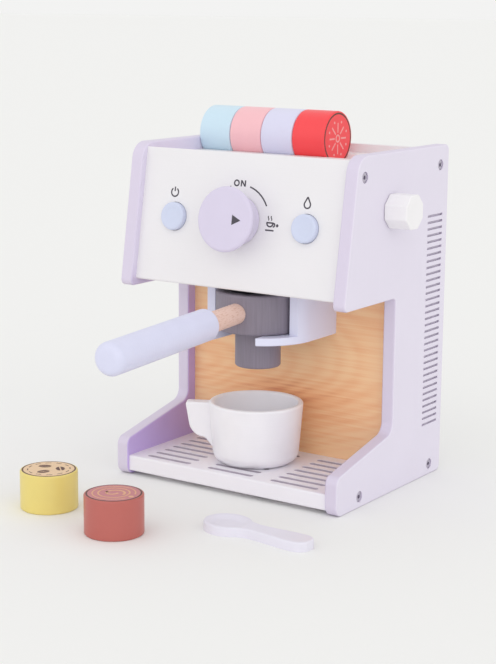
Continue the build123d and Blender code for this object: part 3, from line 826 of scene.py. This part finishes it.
class COFFEE_OT_shape_side_knob(bpy.types.Operator):
    """Cuts the eight-sided knob on the right side board"""

    bl_idname = "coffee.shape_side_knob"
    bl_label = "Shape the side knob"

    def execute(self, context):
        low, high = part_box("side_knob")
        depth = (high.x - low.x) / MM
        bm = bmesh.new()
        turn = Matrix.Rotation(pi / 8, 4, "Z")
        bmesh.ops.create_circle(
            bm, cap_ends=True, segments=8, radius=SIDE_KNOB_RADIUS, matrix=turn
        )
        thrust(bm, (0, 0, depth))
        bmesh.ops.recalc_face_normals(bm, faces=bm.faces)
        upright = [edge for edge in bm.edges if abs(edge.verts[0].co.z - edge.verts[1].co.z) > 1]
        bevel(bm, upright, 0.8, 4)
        bevel(bm, [edge for edge in bm.edges if on_level(edge, depth)], 0.7, 4)
        bevel(bm, [edge for edge in bm.edges if on_level(edge, 0)], 0.5, 3)
        paint = context.scene.coffee_paint.side_knob
        enamel = turned_enamel("white enamel on side knob", paint, (1, 0, 0))
        middle = (low + high) / 2
        at = local_frame((low.x, middle.y, middle.z), (0, 1, 0), (1, 0, 0))
        make_piece("side_knob_cut", bm, at, enamel, "steam_knob", ("side_knob",))
        return {"FINISHED"}


class COFFEE_OT_turn_buttons(bpy.types.Operator):
    """Turns the two push buttons, dished for a finger"""

    bl_idname = "coffee.turn_buttons"
    bl_label = "Turn the buttons"

    def execute(self, context):
        paint = context.scene.coffee_paint.button
        enamel = turned_enamel("blue enamel on buttons", paint, OUTWARD)
        dish = 0.5
        profile = [
            (0, -11.3, 0), (11.8, -11.3, 0.4), (11.8, -8.3, 0.4), (BUTTON_RADIUS, -8.3, 0),
            (BUTTON_RADIUS, BUTTON_PROUD, 1.2), (6.8, BUTTON_PROUD, 1.5),
            (4.6, BUTTON_PROUD - dish, 2.0), (0, BUTTON_PROUD - dish, 0),
        ]
        up = (BUTTON_HEIGHT - DIAL_HEIGHT) / cos(FASCIA_LEAN)
        for side, name in ((-1, "left"), (1, "right")):
            at = fascia_frame(side * BUTTON_SPACING, up)
            make_piece(
                f"{name}_button_turned", turned(profile, 64), at, enamel, f"{name}_push_button",
                (f"{name}_button",),
            )
        return {"FINISHED"}


class COFFEE_OT_finish_filter_holder(bpy.types.Operator):
    """Stains the basket and spout, and turns the handle"""

    bl_idname = "coffee.finish_filter_holder"
    bl_label = "Finish the filter holder"

    def execute(self, context):
        paint = context.scene.coffee_paint
        stain = stained_beech("grey stain on beech", paint.basket)
        give_material(stain, "filter_basket", "filter_spout")
        low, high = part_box("filter_basket")
        ahead = Vector((sin(HANDLE_TURN), -cos(HANDLE_TURN), -tan(HANDLE_DROOP))).normalized()
        middle = (low + high) / 2
        crossing = Vector((middle.x, middle.y, low.z + HANDLE_RISE * MM))
        profile = [
            (0, 22, 0), (6.8, 22, 0), (6.8, 0, 0.4), (HANDLE_RADIUS, 0, 2.0),
            (HANDLE_RADIUS, HANDLE_LENGTH, 4.8), (0, HANDLE_LENGTH, 0),
        ]
        enamel = turned_enamel("blue enamel on turned handle", paint.handle, ahead)
        sideways = (cos(HANDLE_TURN), sin(HANDLE_TURN), 0)
        at = local_frame(crossing + ahead * HANDLE_START * MM, sideways, ahead)
        make_piece(
            "handle_turned", turned(profile), at, enamel, "filter_holder",
            ("holder_handle",),
        )
        return {"FINISHED"}


class COFFEE_OT_turn_cup(bpy.types.Operator):
    """Turns the thick-walled cup and saws its ear"""

    bl_idname = "coffee.turn_cup"
    bl_label = "Turn the cup"

    def execute(self, context):
        low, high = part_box("cup")
        foot = Vector(((low.x + high.x) / 2, (low.y + high.y) / 2, low.z))
        paint = context.scene.coffee_paint
        enamel = turned_enamel("white enamel on turned cup", paint.cup)
        profile = [
            (0, 0.8, 0), (17.4, 0.8, 0.8), (18.2, 0, 0.6), (28.5, 0, 7.5),
            (31.7, CUP_HEIGHT, 1.6), (28.1, CUP_HEIGHT, 1.6), (25.4, CUP_FLOOR, 6.0),
            (0, CUP_FLOOR, 0),
        ]
        cup = make_piece(
            "cup_turned", turned(profile, 128), local_frame(foot), enamel, "cup_body",
            ("cup",),
        )
        # Painted light: the inside of the cup gets a paler white, to lighten the shade inside it.
        inside_light = turned_enamel("white enamel inside the cup", paint.cup_inside_light)
        cup.data.materials.append(inside_light)
        for face in cup.data.polygons:
            away = face.center - foot
            over = away.z > (CUP_FLOOR - 1) * MM
            if over and face.normal.x * away.x + face.normal.y * away.y < 1e-6:
                face.material_index = 1
        outline = [
            (26.6, 9.2, 0), (29.2, 40.0, 0), (47.5, 40.0, 2.0), (43.4, 16.8, 8.0),
            (34.0, 15.8, 1.6), (29.0, 9.2, 0),
        ]
        sideways, beside = (-cos(EAR_TURN), -sin(EAR_TURN), 0), (-sin(EAR_TURN), cos(EAR_TURN), 0)
        at = local_frame(foot, sideways, beside)
        ear = sawn(outline, EAR_THICKNESS, 1.2)
        make_piece("cup_ear_sawn", ear, at, enamel, "cup_body", ("cup_ear",))
        return {"FINISHED"}


def sawn(outline, thickness, sanded):
    """A piece sawn from an outline of X, Y and corner round, sanded where it is out of the cup."""
    bm = bmesh.new()
    corners = [bm.verts.new((x, y, -thickness / 2)) for x, y, _ in outline]
    bm.faces.new(corners)
    for corner, (_, _, corner_round) in zip(corners, outline):
        if corner_round:
            bevel(bm, [corner], corner_round, 8, "VERTICES")
    thrust(bm, (0, 0, thickness))
    bmesh.ops.recalc_face_normals(bm, faces=bm.faces)
    inside = outline[-1][0] + 1
    clear = [edge for edge in bm.edges if max(end.co.x for end in edge.verts) > inside]
    half = thickness / 2
    bevel(bm, [edge for edge in clear if on_level(edge, half) or on_level(edge, -half)], sanded, 4)
    return bm


class COFFEE_OT_carve_spoon(bpy.types.Operator):
    """Carves the flat spoon with its shallow bowl"""

    bl_idname = "coffee.carve_spoon"
    bl_label = "Carve the spoon"

    def execute(self, context):
        low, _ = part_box("spoon")
        bm = bmesh.new()
        grown = Matrix.Diagonal((16, 14, 1, 1)) @ Matrix.Rotation(pi / 24, 4, "Z")
        bmesh.ops.create_circle(bm, cap_ends=True, segments=24, radius=1, matrix=grown)
        bowl = bm.faces[:]
        tail = sorted(bm.edges, key=lambda edge: -sum(end.co.x for end in edge.verts))[:5]
        for reach, half in SPOON_TAIL:
            tail = push_edges(bm, tail, (0, 0, 0))
            row = sorted({end for edge in tail for end in edge.verts}, key=lambda end: end.co.y)
            for step, corner in enumerate(row):
                corner.co = (reach, half * (2 * step / (len(row) - 1) - 1), 0)
        bmesh.ops.recalc_face_normals(bm, faces=bm.faces)
        for face in bm.faces:
            if face.normal.z < 0:
                face.normal_flip()
        even = {"use_boundary": True, "use_even_offset": True}
        for inwards, deeper in ((2.5, 0), (3.6, -1.8), (2.6, -0.4)):
            bmesh.ops.inset_region(bm, faces=bowl, thickness=inwards, depth=deeper, **even)
            if not deeper:
                lip = bowl[0].edges[:]
        bevel(bm, lip, 0.9, 3)
        bmesh.ops.translate(bm, verts=bm.verts, vec=(0, 0, SPOON_THICKNESS))
        soles = thrust(bm, (0, 0, 0))
        bmesh.ops.scale(bm, verts=soles, vec=(1, 1, 0))
        bmesh.ops.recalc_face_normals(bm, faces=bm.faces)
        flanks = [face for face in bm.faces if abs(face.normal.z) < 0.1]
        for level, sanded in ((SPOON_THICKNESS, 1.2), (0, 0.6)):
            edges = {edge for face in flanks if face.is_valid for edge in face.edges}
            bevel(bm, [edge for edge in edges if on_level(edge, level)], sanded, 4)
        enamel = turned_enamel("pale enamel on spoon", context.scene.coffee_paint.spoon, (1, 0, 0))
        spot = Vector((*SPOON_PLACE, low.z / MM)) * MM
        at = local_frame(spot, (cos(SPOON_TURN), sin(SPOON_TURN), 0))
        make_piece("spoon_carved", bm, at, enamel, "spoon_body", ("spoon",), 50)
        return {"FINISHED"}


class COFFEE_OT_turn_capsules(bpy.types.Operator):
    """Turns the six capsules and prints their ends"""

    bl_idname = "coffee.turn_capsules"
    bl_label = "Turn the capsules"

    def execute(self, context):
        inks = context.scene.coffee_capsules
        overlap = 0.5 * context.scene.coffee_sizes.print_thickness / MM
        cocoa = pad_ink("cocoa ink", inks.cocoa)
        profile = [
            (0, 0, 0), (CAPSULE_RADIUS, 0, 1.0), (CAPSULE_RADIUS, CAPSULE_LENGTH, 1.0),
            (0, CAPSULE_LENGTH, 0),
        ]
        prints = {
            "blue": (None, inks.ink, print_rings),
            "pink": (None, inks.cocoa, print_rings),
            "lavender": (None, inks.ink, print_rings),
            "red": (None, inks.blush, print_star),
            "yellow": (inks.cream, inks.cocoa, print_beans),
            "brown": (inks.rose, inks.sand, print_swirl),
        }
        for name, (ground, mark, motif) in prints.items():
            axis = (1, 0, 0) if name in TRAY_CAPSULES else (0, 0, 1)
            enamel = turned_enamel(f"{name} enamel on turned capsule", getattr(inks, name), axis)
            node, body, slot = f"capsule_{name}", f"capsule_{name}_body", f"{name}_capsule"
            at = capsule_frame(name)
            make_piece(f"{node}_turned", turned(profile), at, enamel, body, (node,))
            at = above = capsule_frame(name, CAPSULE_LENGTH)
            if ground:
                disc = bmesh.new()
                print_disc(disc, (0, 0), 32.4, segments=96)
                film = pad_ink(f"ground ink of {name} capsule", ground)
                make_print(f"{node}_ground", disc, at, film, body)
                above = capsule_frame(name, CAPSULE_LENGTH + overlap)
            ring = bmesh.new()
            print_arc(ring, (0, 0), 16.7, 0, 360, 1.0)
            make_print(f"{node}_ring", ring, at, cocoa, body)
            marks = bmesh.new()
            motif(marks)
            film = pad_ink(f"mark ink of {name} capsule", mark)
            make_print(f"{node}_marks", marks, above, film, body)
        return {"FINISHED"}


def print_bean(bm, centre, width, turn):
    """A coffee bean: two halves of an ellipse with a slit between them."""
    at = Matrix.Translation((*centre, 0)) @ Matrix.Rotation(turn, 4, "Z")
    for side in (-1, 1):
        half = bmesh.new()
        grown = Matrix.Diagonal((width / 2, width * 0.34, 1, 1))
        bmesh.ops.create_circle(half, cap_ends=True, segments=32, radius=1, matrix=grown)
        everything = half.verts[:] + half.edges[:] + half.faces[:]
        slit = (0, side * width * 0.05, 0)
        bmesh.ops.bisect_plane(
            half, geom=everything, plane_co=slit, plane_no=(0, side, 0), clear_inner=True
        )
        append_bmesh(bm, half, at)


def print_beans(bm):
    """Three coffee beans and a ring of short dashes."""
    for centre, turn in (((-6.0, 3.2), 0.5), ((5.6, 4.6), 2.4), ((1.2, -6.6), 1.2)):
        print_bean(bm, centre, 8.4, turn)
    for step in range(12):
        print_arc(bm, (0, 0), 13.4, 30 * step + 4, 30 * step + 20, 0.6)


def print_swirl(bm):
    """A cup seen from above, with its saucer's ring and a swirl."""
    print_arc(bm, (0, 0), 13.2, 20, 340, 0.8)
    print_arc(bm, (0, 0), 9.6, 0, 360, 1.0)
    print_arc(bm, (1.0, 0), 5.8, 0, 200, 1.5)
    print_arc(bm, (-1.2, 0), 3.6, 180, 380, 1.5)
    print_disc(bm, (13.2, 0), 3.2)


def print_star(bm):
    """Eight rays with a dot between each pair."""
    for step in range(8):
        turn = radians(45 * step)
        print_bar(bm, (4 * cos(turn), 4 * sin(turn)), (10.5 * cos(turn), 10.5 * sin(turn)), 1.1)
        between = turn + radians(22.5)
        print_disc(bm, (11.6 * cos(between), 11.6 * sin(between)), 1.7)
    print_arc(bm, (0, 0), 2.2, 0, 360, 1.1)


def print_rings(bm):
    """Rings that meet, like ripples in a cup."""
    for radius in (3.5, 7.5, 11.5):
        print_arc(bm, (0, 0), radius, 40, 320, 0.8)
    print_disc(bm, (7.5, 0), 3.0)


class COFFEE_OT_set_stage(bpy.types.Operator):
    """Sets the pale floor, the soft lights and the camera"""

    bl_idname = "coffee.set_stage"
    bl_label = "Set the stage"

    def execute(self, context):
        scene = context.scene
        stage = scene.coffee_stage
        bm = bmesh.new()
        bmesh.ops.create_grid(bm, x_segments=1, y_segments=1, size=stage.floor_size / 2)
        mesh = bpy.data.meshes.new("floor")
        bm.to_mesh(mesh)
        bm.free()
        floor = bpy.data.objects.new("floor", mesh)
        scene.collection.objects.link(floor)
        matt, shader, _ = new_material("matt paper floor", 0.9, Specular_IOR_Level=0.2)
        shader.inputs["Base Color"].default_value = shade_of(stage.floor, 1)
        mesh.materials.append(matt)

        world = bpy.data.worlds.new("studio")
        world.use_nodes = True
        sky = world.node_tree.nodes["Background"]
        sky.inputs["Color"].default_value = shade_of(stage.floor, 1)
        sky.inputs["Strength"].default_value = stage.sky
        scene.world = world

        for name, energy, towards in (
            ("key light", stage.key, (-0.3, -1.0, 0.5)),
            ("side light", stage.side, (0.78, -0.6, 0.3)),
        ):
            lamp = bpy.data.lights.new(name, "SUN")
            lamp.energy, lamp.angle = energy, LIGHT_SPREAD
            holder = bpy.data.objects.new(name, lamp)
            holder.rotation_mode = "QUATERNION"
            holder.rotation_quaternion = Vector(towards).to_track_quat("Z", "Y")
            scene.collection.objects.link(holder)

        yaw, pitch, roll = CAMERA_ANGLES
        forward = Vector((-sin(yaw) * cos(pitch), cos(yaw) * cos(pitch), -sin(pitch)))
        level = Vector((cos(yaw), sin(yaw), 0))
        right = cos(roll) * level + sin(roll) * level.cross(forward)
        turn = Matrix((right, right.cross(forward), -forward)).transposed().to_4x4()
        lens = bpy.data.cameras.new("camera")
        lens.lens, lens.sensor_width = CAMERA_LENS, 36
        lens.clip_start, lens.clip_end = 0.01, 100
        camera = bpy.data.objects.new("camera", lens)
        camera.matrix_world = Matrix.Translation(CAMERA_PLACE) @ turn
        scene.collection.objects.link(camera)
        scene.camera = camera
        scene.view_settings.view_transform = "Standard"
        return {"FINISHED"}


# ---- panel and registration -----------------------------------------------------------------
GROUPS = {
    "coffee_paint": PaintColours,
    "coffee_timber": TimberColours,
    "coffee_capsules": CapsuleColours,
    "coffee_finish": FinishSizes,
    "coffee_sizes": PieceSizes,
    "coffee_stage": StageSettings,
}
OPERATORS = (
    COFFEE_OT_paint_boards,
    COFFEE_OT_finish_timber,
    COFFEE_OT_drive_screws,
    COFFEE_OT_turn_dial,
    COFFEE_OT_print_fascia,
    COFFEE_OT_shape_side_knob,
    COFFEE_OT_turn_buttons,
    COFFEE_OT_finish_filter_holder,
    COFFEE_OT_turn_cup,
    COFFEE_OT_carve_spoon,
    COFFEE_OT_turn_capsules,
    COFFEE_OT_set_stage,
)


class COFFEE_PT_sidebar(bpy.types.Panel):
    """Lists the operators and the properties"""

    bl_idname = "COFFEE_PT_sidebar"
    bl_label = "Toy coffee maker"
    bl_space_type = "VIEW_3D"
    bl_region_type = "UI"
    bl_category = "Coffee Maker"

    def draw(self, context):
        for operator in OPERATORS:
            self.layout.operator(operator.bl_idname)
        for group_name, group in GROUPS.items():
            box = self.layout.box()
            for name in group.__annotations__:
                box.prop(getattr(context.scene, group_name), name)


def register():
    """Registers the properties, the operators and the panel."""
    for name, group in GROUPS.items():
        bpy.utils.register_class(group)
        setattr(bpy.types.Scene, name, bpy.props.PointerProperty(type=group))
    for made in (*OPERATORS, COFFEE_PT_sidebar):
        bpy.utils.register_class(made)


def unregister():
    """Takes back what register() did."""
    for made in (COFFEE_PT_sidebar, *reversed(OPERATORS)):
        bpy.utils.unregister_class(made)
    for name, group in reversed(GROUPS.items()):
        delattr(bpy.types.Scene, name)
        bpy.utils.unregister_class(group)


def main():
    """Dresses the toy piece by piece."""
    register()
    for operator in OPERATORS:
        area, action = operator.bl_idname.split(".")
        getattr(getattr(bpy.ops, area), action)()


if __name__ == "__main__":
    main()
